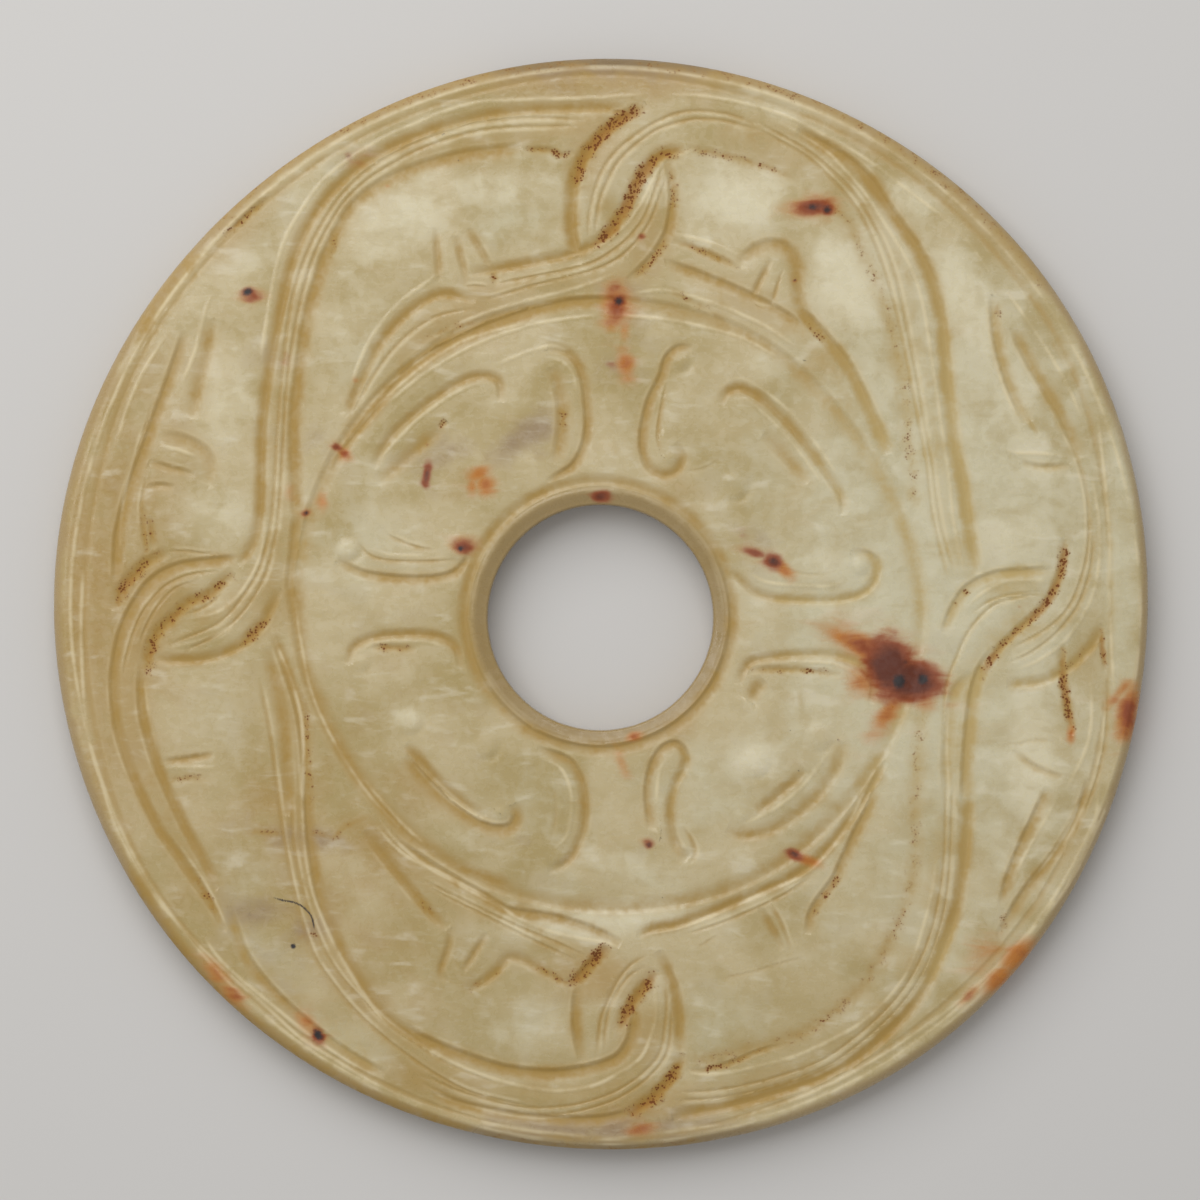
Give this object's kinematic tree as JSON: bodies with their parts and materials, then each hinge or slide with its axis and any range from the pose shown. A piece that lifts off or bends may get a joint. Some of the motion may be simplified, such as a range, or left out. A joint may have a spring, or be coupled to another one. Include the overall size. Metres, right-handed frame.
{
  "type": "jade bi disc",
  "caption": "Thin polished jade disc with a round bore, lying flat, its upper face carved with interlaced straps, knots and scrolls.",
  "frame": {"origin": "centre of the disc's outline, in the plane that its flat back rests on", "axes": "+Z out of the carved face; +Y towards the knot that is at the top of the carving, +X to the right of it"},
  "size_m": [0.12, 0.1196, 0.005],
  "materials": {
    "jade": "polished pale olive-cream jade with ochre stain in the cuts and iron-red spots"
  },
  "bodies": {
    "root": {"jade_disc": "jade"}
  },
  "joints": []
}
